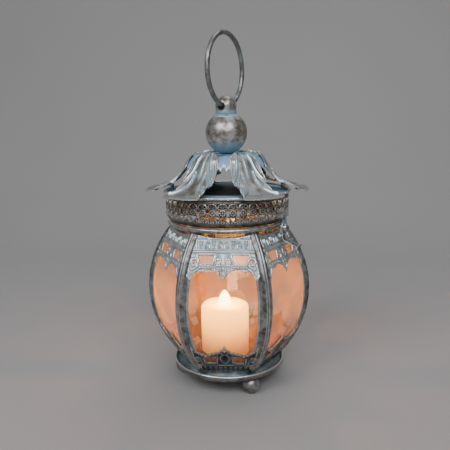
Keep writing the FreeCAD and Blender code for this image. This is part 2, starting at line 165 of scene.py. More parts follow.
def seat(name, mesh, body, material, replaced=None, turn=0.0):
    """Turns a mesh about the lantern's axis, gives it its finish and fixes it to its body."""
    own = mesh.copy()
    own.name = name
    own.transform(Matrix.Rotation(math.radians(turn), 4, "Z"))
    own.materials.clear()
    own.materials.append(material)
    piece = put(name, own)
    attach(piece, body)
    if replaced:
        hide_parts(replaced)
    return piece


def refinish(material, *names):
    """Gives its finish to CAD pieces whose shape stays."""
    for name in names:
        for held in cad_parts[name].material_slots:
            held.material = material


def spin(outline, steps=120, centre=(0.0, 0.0)):
    """Points and faces of a closed outline of (radius, height) turned about an upright axis.
    An outline whose ends are on the axis is closed there."""
    capped = outline[0][0] == 0 and outline[-1][0] == 0
    rings = outline[1:-1] if capped else outline
    angles = np.linspace(0, 2 * math.pi, steps, endpoint=False)
    points = [(centre[0] + r * math.cos(a), centre[1] + r * math.sin(a), z) for r, z in rings for a in angles]
    faces = []
    for ring in range(len(rings) - 1 if capped else len(rings)):
        low, high = ring * steps, (ring + 1) % len(rings) * steps
        faces += [(low + k, low + (k + 1) % steps, high + (k + 1) % steps, high + k) for k in range(steps)]
    if capped:
        points += [(centre[0], centre[1], outline[0][1]), (centre[0], centre[1], outline[-1][1])]
        last = (len(rings) - 1) * steps
        faces += [(len(points) - 2, (k + 1) % steps, k) for k in range(steps)]
        faces += [(len(points) - 1, last + k, last + (k + 1) % steps) for k in range(steps)]
    return np.array(points), faces


def arc(r, z, radius, start, stop, steps):
    """(radius, height) points on part of a circle, between two angles in degrees."""
    angles = np.radians(np.linspace(start, stop, steps))
    return [(r + radius * math.cos(a), z + radius * math.sin(a)) for a in angles]


dish_outline = ([(1.7, DISH_FLOOR)] + [(r, DISH_FLOOR) for r in (12, 24, 35.5)]
                + arc(35.6, DISH_FLOOR - 1.2, 1.2, 78, 48, 4) + arc(40.2, GUTTER_Z + 1.1, 1.1, 230, 270, 4)
                + arc(44.9, GUTTER_Z + 1.5, 1.5, 270, 345, 6) + [(46.9, 18.2)]
                + arc(48.0, 18.7, 1.0, 160, -10, 9) + [(48.95, 16.8)] + arc(46.8, 16.6, 2.0, 0, -88, 8)
                + arc(39.0, 16.2, 1.6, 268, 225, 4) + arc(35.2, DISH_FLOOR - 2.5, 1.2, 50, 88, 4)
                + [(24, DISH_FLOOR - 1.2), (1.7, DISH_FLOOR - 1.2)])
dish_points, dish_faces = spin(dish_outline, 180)
dish_out = np.hypot(dish_points[:, 0], dish_points[:, 1])
# paint stays in the gutter, and the top of the rolled edge is bright: partly rubbed wear, partly a painted
# highlight
in_gutter = (dish_out > 38) & (dish_out < 47.2) & (dish_points[:, 2] > 15.5)
edge_wear_and_sheen = np.clip((dish_points[:, 2] - 18.5) / 0.6, 0, 1) * (dish_out > 47)
dish_mesh = make_mesh("base_dish", dish_points, dish_faces, edge_wear_and_sheen, 0.7 * in_gutter)
dish_finish = aged_tin("spun tinplate, blackened and washed blue", tin="#8F8C86", smoke="#4F4A42", washed=0.4,
                       shine=1.0, rough=0.3)
seat("dish", dish_mesh, "lantern_body", dish_finish, "base_dish")

# ---- Ball feet ----
# Three cast balls screw on to studs that are riveted through the gutter. Each has a small worn flat.
# They are plain grey metal, polished by handling.

FOOT_R = 7.6
FOOT_Z = 7.5
FOOT_CIRCLE = 41.0
FOOT_AZIMUTHS = (30, 150, 270)

foot_finish = aged_tin("cast zinc, darkened and handled", tin="#A9A7A2", smoke="#6A6359", washed=0.15,
                       rough=0.3)
foot_outline = ([(0, 0.02), (1.2, 0.02)] + arc(0, FOOT_Z, FOOT_R, -80, 66, 30) + [(2.6, 14.5), (0, 14.5)])
foot_mesh = make_mesh("foot_ball", *spin(foot_outline, 64, (0.0, -FOOT_CIRCLE)))
for number, azimuth in enumerate(FOOT_AZIMUTHS, 1):
    seat("ball_foot_%d" % number, foot_mesh, "lantern_body", foot_finish,
         "foot_ball_%d" % number, azimuth)

# ---- Candle cup, rivet and studs ----
# A pressed tin cup keeps the candle in the middle. One hollow rivet holds it to the dish, and its edge
# is folded over. The studs for the feet end flush in the gutter.

CUP_R = 26.3
CUP_TOP = 26.8

cup_finish = aged_tin("pressed tinplate, smoked by the candle", tin="#8B857A", smoke="#4E463B", washed=0.2)
cup_outline = ([(1.7, DISH_FLOOR + 0.05), (24, DISH_FLOOR + 0.05)]
               + arc(24.7, DISH_FLOOR + 1.6, 1.55, -88, -4, 7) + [(CUP_R, 24.0)]
               + arc(CUP_R - 0.45, CUP_TOP - 0.45, 0.45, 0, 180, 9) + [(CUP_R - 0.85, 23.0)]
               + arc(24.0, DISH_FLOOR + 2.1, 1.4, -5, -88, 6) + [(1.7, DISH_FLOOR + 0.75)])
seat("cup", make_mesh("cup", *spin(cup_outline, 120)), "lantern_body", cup_finish, "candle_cup")
stud_finish = aged_tin("bright steel, dulled", tin="#9C9B98", smoke="#6E675E", washed=0.0, rough=0.3,
                       patch_mm=4.0)
refinish(stud_finish, "cup_rivet", "foot_studs", "tie_rod", "tie_nut", "hinge_pin", "hasp_pin")

# ---- Bottom fretwork ----
# Six stamped and pierced strips stand round the foot of the glass, with a peak in the middle, a fluted
# band below and two windows. The stamping is olive-brown with a little bare metal on its crests.

PANEL_R = 94.3
PANEL_BACK = 34.5
PANEL_Z = 81.5
FLANGE_TOP = 0.55
FRET_TIN = 0.45
STRIP_GAP = 3.6
HALF = math.tan(math.radians(TURN / 2))


def on_panel(u, z, lift):
    """Points on the front panel, which bulges as part of a cylinder that lies across the lantern."""
    swing = np.arcsin((z - PANEL_Z) / PANEL_R)
    out = (PANEL_R + lift) * np.cos(swing) - PANEL_BACK
    return np.stack([u, -out, PANEL_Z + (PANEL_R + lift) * np.sin(swing)], -1)


def on_flange(u, z, lift):
    """The stamped strips lie over the ribs' flanges."""
    return on_panel(u, z, FLANGE_TOP + lift)


def half_width(z):
    """Half the panel's width at a height: six panels meet in their corners."""
    return (np.sqrt(PANEL_R ** 2 - (z - PANEL_Z) ** 2) - PANEL_BACK) * HALF


def to_line(u, v, ax, ay, bx, by):
    """Distance to a straight stroke."""
    share = ((u - ax) * (bx - ax) + (v - ay) * (by - ay)) / max((bx - ax) ** 2 + (by - ay) ** 2, 1e-9)
    share = np.clip(share, 0, 1)
    return np.hypot(u - ax - share * (bx - ax), v - ay - share * (by - ay))


def to_path(u, v, path):
    """Distance to a stroke through several points."""
    return np.minimum.reduce([to_line(u, v, *a, *b) for a, b in zip(path, path[1:])])


def inside(u, v, outline):
    """How deep a point is inside a closed outline; negative outside it."""
    nearest = np.full(np.shape(u), 1e9)
    odd = np.zeros(np.shape(u), bool)
    for (ax, ay), (bx, by) in zip(outline, outline[1:] + outline[:1]):
        nearest = np.minimum(nearest, to_line(u, v, ax, ay, bx, by))
        crosses = (ay > v) != (by > v)
        odd ^= crosses & (u < (bx - ax) * (v - ay) / (by - ay if by != ay else 1e-9) + ax)
    return np.where(odd, nearest, -nearest)


def bead(distance, radius, height):
    """A half-round raised line or dot."""
    return height * np.sqrt(np.clip(1 - (distance / radius) ** 2, 0, 1))


# the corners of a cell, and the crossings between them, run round it as 0 to 7
CELL_SHAPES = {1: [[0, 1, 7]], 2: [[1, 2, 3]], 3: [[0, 2, 3, 7]], 4: [[3, 4, 5]], 5: [[7, 0, 1], [3, 4, 5]],
               6: [[1, 2, 4, 5]], 7: [[0, 2, 4, 5, 7]], 8: [[5, 6, 7]], 9: [[0, 1, 5, 6]],
               10: [[1, 2, 3], [5, 6, 7]], 11: [[0, 2, 3, 5, 6]], 12: [[3, 4, 6, 7]], 13: [[0, 1, 3, 4, 6]],
               14: [[1, 2, 4, 6, 7]], 15: [[0, 2, 4, 6]]}


def blurred(values, reach, around):
    """A local average over a square, used to find what stands proud of its neighbourhood."""
    span = 2 * reach + 1
    for axis in (0, 1):
        values = np.moveaxis(values, axis, 0)
        wide = np.pad(values, [(reach, reach), (0, 0)], mode="wrap" if around and axis == 0 else "edge")
        total = np.cumsum(np.insert(wide, 0, 0, axis=0), axis=0)
        values = np.moveaxis((total[span:] - total[:-span]) / span, 0, axis)
    return values



def pierced(name, metal, relief, across, up, place, thickness, stamped=False, around=False, reach_mm=1.1,
            soot=0.85):
    """A pierced and stamped sheet as one closed mesh. metal(u, v) is how deep a point is in the metal,
    relief(u, v) how far its front stands out, and place(u, v, lift) puts a point over the sheet's back."""
    step = across[1] - across[0]
    u, v = np.meshgrid(across, up, indexing="ij")
    depth = metal(u, v)
    depth = np.where(np.abs(depth) < 0.01, 0.01, depth)
    height = relief(u, v)
    nearby = np.where(depth > 0, height, height.min() - 0.5)
    proud = height - blurred(nearby, max(1, round(reach_mm / step)), around)
    if around:
        u, v = np.vstack([u, u[:1] + step * len(across)]), np.vstack([v, v[:1]])
        depth, proud = np.vstack([depth, depth[:1]]), np.vstack([proud, proud[:1]])
    solid = depth > 0
    total = 0
    spots = []

    def number(mask, uu, vv, marks, hoop=False):
        """Numbers the points where the mask is set; the last row of a hoop is its first row again."""
        nonlocal total
        fresh = mask.copy()
        if hoop:
            fresh[-1] = False
        table = np.full(mask.shape, -1)
        table[fresh] = np.arange(total, total + fresh.sum())
        total += int(fresh.sum())
        spots.append(np.stack([uu[fresh], vv[fresh], marks[fresh]], -1))
        if hoop:
            table[-1] = table[0]
        return table

    corner = number(solid, u, v, proud, around)
    cut_u = solid[:-1] != solid[1:]
    share = np.clip(depth[:-1] / np.where(cut_u, depth[:-1] - depth[1:], 1), 0.04, 0.96)
    cross_u = number(cut_u, u[:-1] + share * step, v[:-1], np.where(solid[:-1], proud[:-1], proud[1:]))
    cut_v = solid[:, :-1] != solid[:, 1:]
    share = np.clip(depth[:, :-1] / np.where(cut_v, depth[:, :-1] - depth[:, 1:], 1), 0.04, 0.96)
    cross_v = number(cut_v, u[:, :-1], v[:, :-1] + share * (up[1] - up[0]),
                     np.where(solid[:, :-1], proud[:, :-1], proud[:, 1:]), around)
    ring = np.stack([corner[:-1, :-1], cross_u[:, :-1], corner[1:, :-1], cross_v[1:], corner[1:, 1:],
                     cross_u[:, 1:], corner[:-1, 1:], cross_v[:-1]]).reshape(8, -1)
    code = (solid[:-1, :-1] + 2 * solid[1:, :-1] + 4 * solid[1:, 1:] + 8 * solid[:-1, 1:]).ravel()
    faces = []
    for kind, shapes in CELL_SHAPES.items():
        cells = np.nonzero(code == kind)[0]
        for shape in shapes:
            front = ring[np.ix_(shape, cells)].T
            faces += front.tolist() + (front[:, ::-1] + total).tolist()
            for a, b in zip(shape, shape[1:] + shape[:1]):
                if a % 2 and b % 2:
                    near, far = ring[b, cells], ring[a, cells]
                    faces += np.stack([near, far, far + total, near + total], -1).tolist()
    u, v, proud = np.vstack(spots).T
    lift = relief(u, v)
    points = np.vstack([place(u, v, lift + thickness), place(u, v, lift * stamped)])
    wear_and_highlight = np.clip(proud / 0.45 - 0.15, 0, 1)
    hollow = np.clip(-proud / 0.3 - 0.05, 0, 1)
    blank = np.zeros(len(lift))
    return make_mesh(name, points, faces, np.append(wear_and_highlight, blank), np.append(hollow, blank + 0.25),
                     np.append(blank, blank + soot))


CREST = [(0, 50.2), (2.0, 46.6), (4.8, 44.2), (10.0, 42.6), (16.5, 40.8), (21.2, 43.7), (24.5, 46.0),
         (26.5, 49.3), (28.5, 46.5), (45, 46.5), (45, 20.6), (0, 20.6)]
FOOT_WINDOW = [(6.6, 38.9), (16.8, 38.9), (15.6, 32.0), (7.6, 32.0)]
FOOT_EYE = (22.4, 36.2)


def mirrored(half):
    """An outline from its right half, which starts on the centre line."""
    return half + [(-x, z) for x, z in reversed(half) if x > 0]


def foot_metal(u, z):
    edge = inside(u, z, mirrored(CREST)) + 0.35 * np.cos(2 * math.pi * u / 3.4) * (z > 39.6)
    s = np.abs(u)
    return np.minimum.reduce([edge, half_width(z) - STRIP_GAP - s, -inside(s, z, FOOT_WINDOW),
                              np.hypot(s - FOOT_EYE[0], z - FOOT_EYE[1]) - 1.3,
                              np.hypot(u, (z - 44.8) / 1.7) - 0.8])


FLUTE = 4.2
FOOT_BEADS = [(6.2, 41.6), (9.3, 41.0), (12.4, 40.6), (15.4, 39.9), (18.4, 40.9), (20.9, 42.4), (24.0, 44.4)]
# each raised stroke: its line, half its width and its height
FOOT_STROKES = [([(0.0, 31.5), (2.6, 34), (3.9, 37.6), (2.6, 40.6), (0.8, 41.4)], 0.7, 0.8),
                ([(18.6, 31.5), (19.4, 35.5), (19.0, 39.5)], 0.8, 0.8),
                ([(24.9, 33), (25.6, 38.6), (26.5, 46.0)], 0.9, 0.8)]


def ornament(s, z, strokes, beads):
    """Raised strokes and a string of beads."""
    return np.maximum.reduce([bead(to_path(s, z, path), half, high) for path, half, high in strokes]
                             + [bead(np.hypot(s - x, z - h), 1.15, 0.95) for x, h in beads])


def foot_relief(u, z):
    s = np.abs(u)
    flute = np.abs((u + FLUTE / 2) % FLUTE - FLUTE / 2)
    fluted = (s < 21) * bead(flute, 1.55, 0.75) * np.clip((27.1 + bead(flute, 1.6, 1.2) - z) / 0.5, 0, 1)
    return np.maximum.reduce([
        0.25 + bead(inside(u, z, mirrored(CREST)) - 0.9, 0.9, 0.55) * (z > 38),
        0.2 + fluted * (z > 22),
        0.2 + bead(z - 29.6, 0.75, 0.7),
        0.2 + bead(z - 21.4, 0.6, 0.4),
        bead(inside(s, z, FOOT_WINDOW) + 1.0, 0.8, 0.75),
        bead(np.hypot(s - FOOT_EYE[0], z - FOOT_EYE[1]) - 2.5, 0.8, 0.8),
        bead(np.hypot(s - 2.2, z - 42.6), 1.0, 0.9),
        ornament(s, z, FOOT_STROKES, FOOT_BEADS)])


fret_finish = aged_tin("stamped tinplate, blackened and rubbed", tin="#54524A", smoke="#262219",
                       wash="#4E626A", washed=0.12, shine=0.9)


def seat_six(name, mesh, body, material, replaced, first=0.0):
    """Fixes the same mesh to all six sides, numbered from the front."""
    for side in range(SIDES):
        number = "_%d" % (side + 1)
        seat(name + number, mesh, body, material, replaced + number, first + side * TURN)


foot_fret_mesh = pierced("bottom_fretwork", foot_metal, foot_relief, np.arange(-32, 32.1, 0.42),
                         np.arange(19.6, 52.2, 0.42), on_flange, FRET_TIN)
seat_six("foot_fret", foot_fret_mesh, "lantern_body", fret_finish, "bottom_fretwork")

# ---- Top fretwork ----
# Each side has a stamped header under the neck ring: a row of arches, dots and bars between two rules,
# and below it a pierced fringe with two windows and three drops. Its high spots are rubbed to bare tin.

HEADER_TOP = 138.8
HOLLOW_DEEP = 3.4
HOLLOW_HALF = 25.5
HOLLOW_R = (HOLLOW_HALF ** 2 + HOLLOW_DEEP ** 2) / (2 * HOLLOW_DEEP)
HOLLOW_MIDDLE = HEADER_TOP - HOLLOW_DEEP + HOLLOW_R
FRINGE = [(0, 138.9), (45, 138.9), (45, 112.0), (30, 110.0), (26.5, 104.2), (22.5, 109.5), (20.0, 111.5),
          (16.5, 110.8), (13.0, 112.6), (8.7, 112.4), (4.0, 110.1), (0, 104.3)]
WINDOW = [(7.2, 123.1), (19.6, 123.1), (17.6, 116.6), (9.0, 116.6)]
KEYHOLE = [(2.6, 119.0), (5.6, 119.0), (4.1, 116.2)]
MOTIF_PITCH = 5.0
MOTIF_Z = 130.4


HEADER_EYE = (22.4, 118.2)
CURL_EYE = (4.1, 120.6)
HEADER_BEADS = [(9.4, 114.3), (11.6, 114.2), (13.8, 114.2), (16.0, 114.2), (18.2, 114.3)]
HEADER_STROKES = [([(20.6, 123.6), (21.3, 121.2), (24.6, 120.6), (26.0, 117.6)], 0.6, 0.7),
                  ([(0, 115.3), (2.6, 115.6), (6.5, 115.2), (8.4, 114.4)], 0.65, 0.75),
                  ([(0, 106.0), (1.9, 109.2), (2.3, 111.5), (1.6, 113.6)], 0.75, 0.9),
                  ([(3.4, 112.6), (5.2, 111.6), (7.0, 112.6), (6.4, 114.0)], 0.65, 0.8),
                  ([(19.4, 113.2), (22.2, 111.6), (24.2, 108.2), (26.5, 105.6)], 0.75, 0.9),
                  ([(19.6, 115.8), (21.8, 114.0), (24.8, 112.6), (25.4, 114.8)], 0.65, 0.85)]


def under_neck(u, z):
    """How far a point is below the hollow top edge, which clears the neck ring."""
    return np.hypot(u, z - HOLLOW_MIDDLE) - HOLLOW_R


def header_metal(u, z):
    s = np.abs(u)
    # the lower edge is nibbled into small scallops
    edge = inside(u, z, mirrored(FRINGE)) + 0.3 * np.cos(2 * math.pi * u / 2.9) * (z < 114)
    return np.minimum.reduce([edge, under_neck(u, z), half_width(z) - STRIP_GAP - s, HEADER_TOP - z,
                              -inside(s, z, WINDOW), -inside(s, z, KEYHOLE),
                              np.hypot(s - HEADER_EYE[0], z - HEADER_EYE[1]) - 1.5,
                              np.hypot(u, (z - 109.3) / 1.8) - 0.62,
                              np.hypot(s - 26.0, (z - 108.9) / 1.7) - 0.6])


def motifs(s, z):
    """Arches over a dot, and pairs of bars over a lozenge, take turns along the row."""
    place = np.floor(s / MOTIF_PITCH)
    x = s - (place + 0.5) * MOTIF_PITCH
    arch = np.where(z > MOTIF_Z, np.abs(np.hypot(x, z - MOTIF_Z) - 1.45), np.abs(np.abs(x) - 1.45))
    arch = np.minimum(bead(arch, 0.5, 0.75), 0.75 * (z > MOTIF_Z - 2.7))
    arch = np.maximum(arch, bead(np.hypot(x, z - MOTIF_Z + 1.6), 0.6, 0.7))
    bars = bead(to_line(np.abs(x), z, 1.0, MOTIF_Z - 0.5, 1.0, MOTIF_Z + 2.0), 0.5, 0.75)
    bars = np.maximum(bars, bead(np.abs(x) + 0.8 * np.abs(z - MOTIF_Z + 1.7), 1.1, 0.7))
    return np.where(place % 2 == 0, arch, bars) * (s < 20)


def header_relief(u, z):
    s = np.abs(u)
    top = under_neck(u, z)
    curl = np.hypot(s - CURL_EYE[0], z - CURL_EYE[1])
    return np.maximum.reduce([
        # the row of ornament, and the rules that close it on all sides
        motifs(s, z),
        bead(top - 0.9, 0.75, 0.5),
        bead(z - 125.4, 0.85, 0.95) * (s < 24),
        bead(z - 126.9, 0.4, 0.35) * (s < 23),
        bead(z - 134.2, 0.35, 0.35) * (s < 21) * (top > 0.6),
        bead(s - 21.2, 0.6, 0.6) * (z > 127) * (z < 134),
        # the fringe: frames round the openings, curls, a string of beads and three drops
        bead(inside(s, z, WINDOW) + 0.75, 0.6, 0.55),
        bead(inside(s, z, KEYHOLE) + 0.75, 0.6, 0.7),
        bead(curl - 2.0, 0.6, 0.8) * (z > 119.4),
        bead(curl, 0.8, 0.8),
        bead(np.hypot(s - HEADER_EYE[0], z - HEADER_EYE[1]) - 2.5, 0.7, 0.8),
        bead(s + np.abs(z - 113.2), 1.5, 0.3),
        ornament(s, z, HEADER_STROKES, HEADER_BEADS),
        bead(inside(u, z, mirrored(FRINGE)) - 0.7, 0.6, 0.45) * (z < 116)])


header_finish = aged_tin("stamped tinplate, washed blue and rubbed bright", tin="#D2D2CE", smoke="#8F897E",
                         washed=0.3, shine=0.95, rough=0.3)
header_mesh = pierced("top_fretwork", header_metal, header_relief, np.arange(-34, 34.1, 0.4),
                      np.arange(103, 140.2, 0.4), on_flange, FRET_TIN, reach_mm=1.3, soot=1.0)
seat_six("header", header_mesh, "lantern_body", header_finish, "top_fretwork")

# ---- Glass panes ----
# Six panes of 2 mm window glass, slumped over a former. Candle smoke has left a thin warm film on them,
# thicker in some places, which catches the flame's light. A painted glow on the panes, brightest at the
# flame's height, stands for that light.

GLASS = 2.0
GLASS_LOW = 21.0
GLASS_HIGH = 134.6
GLASS_GAP = 0.9
GLOW_Z = 86.0
GLOW_NEAR = 4.0
GLOW_FAR = 36.0

glass_finish, tree, spot = new_finish("slumped window glass with a candle film")
clear = node(tree, "BsdfPrincipled", {"Base Color": linear("#FFF5E8"), "Roughness": 0.015,
             "IOR": 1.5, "Transmission Weight": 1.0})
film_patch = node(tree, "TexNoise", {"Scale": 1 / (24 * MM), "Detail": 5.0, "Roughness": 0.6},
                  {"Vector": spot})
film_amount = node(tree, "MapRange", {"From Min": 0.35, "From Max": 0.7, "To Min": 0.03,
                   "To Max": 0.15}, {"Value": film_patch})
film = node(tree, "BsdfTranslucent", {"Color": linear("#E6AA7C")})
filmed = node(tree, "MixShader", (), {0: film_amount, 1: clear, 2: film})
# a painted glow stands for the flame's light in the film, brightest at the height of the flame
glass_z = node(tree, "SeparateXYZ", (), {0: spot}).outputs["Z"]
off_flame = node(tree, "Math", {"operation": "SUBTRACT", 1: GLOW_Z * MM}, {0: glass_z})
off_flame = node(tree, "Math", {"operation": "ABSOLUTE"}, {0: off_flame})
lit = node(tree, "MapRange", {"From Min": GLOW_NEAR * MM, "From Max": GLOW_FAR * MM, "To Min": 0.10,
           "To Max": 0.0}, {"Value": off_flame})
painted_flame_glow = node(tree, "Emission", {"Color": linear("#FF9632")}, {"Strength": lit})
film_and_painted_glow = node(tree, "AddShader", (), {0: filmed, 1: painted_flame_glow})
# light passes straight through, so that the flame lights what is outside
passing = node(tree, "BsdfTransparent", {"Color": linear("#FBF8F2")})
to_lamp = node(tree, "LightPath").outputs["Is Shadow Ray"]
glass_mix = node(tree, "MixShader", (), {0: to_lamp, 1: film_and_painted_glow, 2: passing})
node(tree, "OutputMaterial", (), {"Surface": glass_mix})


def slab(front, back):
    """A closed sheet between two grids of points that have the same rows and columns."""
    rows, columns = front.shape[:2]
    points = np.vstack([front.reshape(-1, 3), back.reshape(-1, 3)])
    number = np.arange(rows * columns).reshape(rows, columns)
    quads = np.stack([number[:-1, :-1], number[1:, :-1], number[1:, 1:], number[:-1, 1:]], -1).reshape(-1, 4)
    faces = quads.tolist() + (quads[:, ::-1] + rows * columns).tolist()
    rim = np.concatenate([number[0, :-1], number[:-1, -1], number[-1, :0:-1], number[:0:-1, 0]])
    ahead = np.roll(rim, -1)
    faces += np.stack([rim, ahead, ahead + rows * columns, rim + rows * columns], -1).tolist()
    return points, faces


pane_z, pane_share = np.meshgrid(np.linspace(GLASS_LOW, GLASS_HIGH, 90), np.linspace(-1, 1, 25),
                                 indexing="ij")
pane_u = pane_share * (half_width(pane_z) - GLASS_GAP)
pane_front = on_panel(pane_u, pane_z, -0.1)
pane_back = on_panel(pane_share * (half_width(pane_z) - GLASS_GAP - GLASS * HALF), pane_z, -0.1 - GLASS)
pane_mesh = make_mesh("pane", *slab(pane_front, pane_back))
seat_six("pane", pane_mesh, "lantern_body", glass_finish, "glass_pane")
refinish(cup_finish, "glass_tabs")

# ---- Corner ribs ----
# A strip of tinplate covers each joint of the cage, rolled with two ridges and a groove on the corner
# line. It is soldered to the dish and the neck ring.

RIB_LOW = 15.9
RIB_HIGH = 140.2
RIB_HALF = 7.5
RIB_BACK = 0.02
RIB_ACROSS = np.array([0, 0.2, 0.45, 0.75, 1.1, 1.6, 2.1, 2.6, 3.1, 3.6, 4.1, 4.5, 4.8, 5.3, 5.9, 6.4, 6.8,
                       7.2, RIB_HALF])

rib_finish = aged_tin("rolled tinplate strip, dark and edge-rubbed", tin="#9A9994", smoke="#4A473F",
                      wash="#6C8896", washed=0.22, shine=0.8, rough=0.33, patch_mm=6.0)


def rib_height(s):
    """How far the strip stands out, by distance from the corner line."""
    return 0.5 + bead(s - 2.4, 2.5, 1.6) + bead(s - 6.7, 0.7, 0.25) - bead(s, 0.8, 0.1)


def turned(points, degrees):
    """Points turned about the lantern's axis."""
    a = math.radians(degrees)
    return points @ np.array([[math.cos(a), math.sin(a), 0], [-math.sin(a), math.cos(a), 0], [0, 0, 1]])


rib_z = np.linspace(RIB_LOW, RIB_HIGH, 110)
grid_z, grid_s = np.meshgrid(rib_z, RIB_ACROSS, indexing="ij")
rib_sheets = []
for lift in (RIB_BACK + rib_height(grid_s), np.full(grid_s.shape, RIB_BACK)):
    # the panel's edge moves out with the lift, so the two halves meet on the corner line
    edge = half_width(grid_z) + lift * np.cos(np.arcsin((grid_z - PANEL_Z) / PANEL_R)) * HALF
    half = on_panel(edge - grid_s, grid_z, lift)
    rib_sheets.append(np.concatenate([half[:, ::-1], turned(half * [-1, 1, 1], TURN)[:, 1:]], axis=1))
rib_points, rib_faces = slab(*rib_sheets)
rib_line = np.concatenate([RIB_ACROSS[::-1], RIB_ACROSS[1:]])
rib_rub = np.tile(bead(rib_line - 1.2, 0.9, 0.6) + bead(rib_line - 6.8, 0.6, 0.8), len(rib_z))
rib_dark = np.tile(bead(rib_line, 0.5, 0.5) + bead(rib_line - 4.9, 0.5, 0.5), len(rib_z))
rib_plain = 0 * rib_rub
rib_mesh = make_mesh("rib", rib_points, rib_faces, np.append(rib_rub, rib_plain),
                     np.append(rib_dark, rib_plain), np.append(rib_plain, rib_plain + 0.1))
seat_six("rib", rib_mesh, "lantern_body", rib_finish, "corner_rib")

# ---- Neck ring ----
# A ring of 4 mm steel wire, butt-welded and soldered on the tops of the ribs. The lid drops on it, so
# its upper side is polished by wear.

NECK_R = 49.0
NECK_WIRE_R = 2.0
NECK_Z = 141.9

neck_finish = aged_tin("steel wire, zinc-plated and worn", tin="#B4B2AD", smoke="#5E574D", washed=0.1,
                       shine=0.9, rough=0.2, patch_mm=5.0)
neck_points, neck_faces = spin(arc(NECK_R, NECK_Z, NECK_WIRE_R, 0, 345, 24), 220)
neck_worn = np.clip((neck_points[:, 2] - NECK_Z) / NECK_WIRE_R, 0, 1) * 0.8
seat("neck_wire_ring", make_mesh("neck_ring", neck_points, neck_faces, neck_worn), "lantern_body",
     neck_finish, "neck_ring")

# ---- Candle and flame ----
# A votive candle of ivory wax stands in the cup. Its top has softened into a shallow melted pool with a
# rounded shoulder. A painted glow in the wax stands for the flame's light soaking into it.

CANDLE_X = -3.4
CANDLE_Y = 0.3
CANDLE_R = 21.0
CANDLE_LOW = 20.9
CANDLE_TOP = 66.2
SHOULDER_R = 3.4
WICK_TOP = 70.4
FLAME_LOW = 64.3
FLAME_TOP = 78.4
FLAME_R = 6.2
LAMP_Z = 76.0

wax, tree, spot = new_finish("ivory paraffin wax, warm and softened")
wax_cloud = node(tree, "TexNoise", {"Scale": 1 / (9 * MM), "Detail": 4.0}, {"Vector": spot})
wax_colour = node(tree, "Mix", {"data_type": "RGBA", 6: linear("#DDBE80"), 7: linear("#CFA968")},
                  {0: wax_cloud}).outputs[2]
# a painted glow stands for the flame's light inside the wax: white-hot round the wick, then yellow, and
# orange 40 mm away
from_wick = node(tree, "VectorMath", {"operation": "DISTANCE",
                 1: (CANDLE_X * MM, CANDLE_Y * MM, (CANDLE_TOP + 1) * MM)}, {0: spot}).outputs["Value"]
near = node(tree, "MapRange", {"From Min": 5 * MM, "From Max": 46 * MM, "To Min": 1.0, "To Max": 0.0},
            {"Value": from_wick})
faded = node(tree, "Math", {"operation": "POWER", 1: 1.7}, {0: near})
glow = node(tree, "Math", {"operation": "MULTIPLY_ADD", 1: 12.0, 2: 0.5}, {0: faded})
glow_tint = node(tree, "Mix", {"data_type": "RGBA", 6: linear("#FF9C44"), 7: linear("#FFC44A")},
                 {0: near}).outputs[2]
wax_dents = node(tree, "Bump", {"Strength": 0.25, "Distance": 0.4 * MM}, {"Height": wax_cloud})
wax_skin = node(tree, "BsdfPrincipled", {"Roughness": 0.42, "IOR": 1.43, "Subsurface Weight": 1.0,
                "Subsurface Radius": (0.012, 0.007, 0.003), "Subsurface Scale": 1.0},
                {"Base Color": wax_colour, "Emission Color": glow_tint, "Emission Strength": glow,
                 "Normal": wax_dents})
node(tree, "OutputMaterial", (), {"Surface": wax_skin})

pool = [(0, CANDLE_TOP - 2.1), (0.9, CANDLE_TOP - 2.1), (4, CANDLE_TOP - 2.0), (9, CANDLE_TOP - 1.6),
        (13.5, CANDLE_TOP - 0.8), (16, CANDLE_TOP - 0.25)]
candle_outline = (pool + arc(CANDLE_R - SHOULDER_R, CANDLE_TOP - SHOULDER_R, SHOULDER_R, 84, 0, 10)
                  + [(CANDLE_R, z) for z in (58, 52, 44, 36, 28)]
                  + arc(CANDLE_R - 1, CANDLE_LOW + 1, 1, 0, -90, 4) + [(10, CANDLE_LOW), (0, CANDLE_LOW)])
candle_points, candle_faces = spin(candle_outline, 128)
candle_turn = np.arctan2(candle_points[:, 1], candle_points[:, 0])
# the shoulder slumps a little more on some sides than on others
softening = np.clip((candle_points[:, 2] - 58) / 8, 0, 1)
slump = 0.35 * np.sin(3 * candle_turn + 0.6) + 0.25 * np.sin(5 * candle_turn + 2.1) - 0.6
outer = np.clip(np.hypot(candle_points[:, 0], candle_points[:, 1]) / CANDLE_R, 0, 1)
candle_points[:, 2] += softening * outer * slump
candle_points[:, 0] += CANDLE_X
candle_points[:, 1] += CANDLE_Y
seat("candle", make_mesh("candle", candle_points, candle_faces), "candle", wax, "candle_wax")

char, tree, spot = new_finish("braided cotton wick, charred")
braid = node(tree, "TexWave", {"Scale": 1 / (1.2 * MM) / 20, "Distortion": 2.0}, {"Vector": spot})
char_colour = node(tree, "Mix", {"data_type": "RGBA", 6: linear("#1C1613"), 7: linear("#4A3A2E")},
                   {0: braid.outputs["Fac"]}).outputs[2]
char_dents = node(tree, "Bump", {"Strength": 0.6, "Distance": 0.2 * MM}, {"Height": braid.outputs["Fac"]})
char_skin = node(tree, "BsdfPrincipled", {"Roughness": 0.9},
                 {"Base Color": char_colour, "Normal": char_dents})
node(tree, "OutputMaterial", (), {"Surface": char_skin})
wick_outline = [(0, 60), (0.7, 60), (0.7, 66), (0.62, WICK_TOP - 0.6), (0.35, WICK_TOP), (0, WICK_TOP)]
wick_points, wick_faces = spin(wick_outline, 20, (CANDLE_X, CANDLE_Y))
seat("wick", make_mesh("wick", wick_points, wick_faces), "candle", char, "candle_wick")

